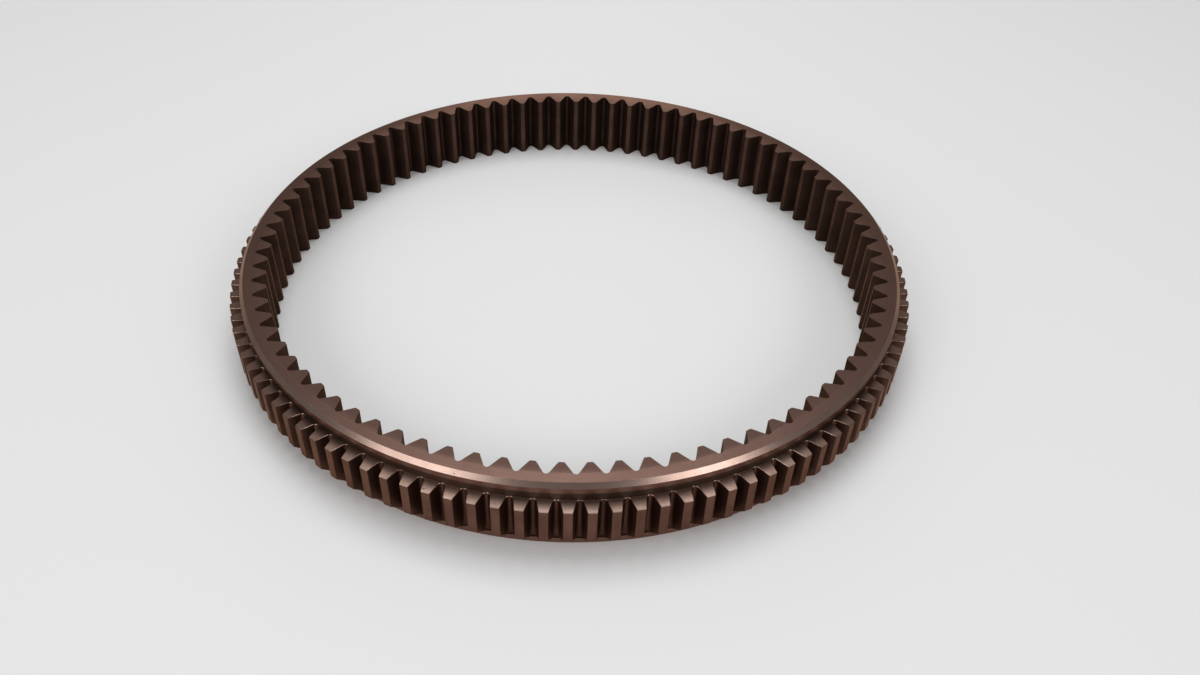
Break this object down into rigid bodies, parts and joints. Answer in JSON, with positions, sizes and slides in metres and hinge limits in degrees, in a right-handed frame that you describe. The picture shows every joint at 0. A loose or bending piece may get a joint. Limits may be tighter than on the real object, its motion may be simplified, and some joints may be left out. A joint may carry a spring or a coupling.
{
  "type": "internal ring gear",
  "caption": "Flat steel ring with internal gear teeth, external spline teeth below a shallow groove, and a chamfered top collar.",
  "frame": {"origin": "on the gear's axis, in the plane of the bottom face that the ring rests on", "axes": "+Z along the gear's axis, from the lead-in end of the external teeth towards the chamfered collar; +X through the centre of an internal tooth gap and of an external tooth"},
  "size_m": [0.2938, 0.2938, 0.0302],
  "materials": {
    "steel": "machined satin, warm grey-brown"
  },
  "bodies": {
    "root": {"ring_gear": "steel"}
  },
  "joints": []
}
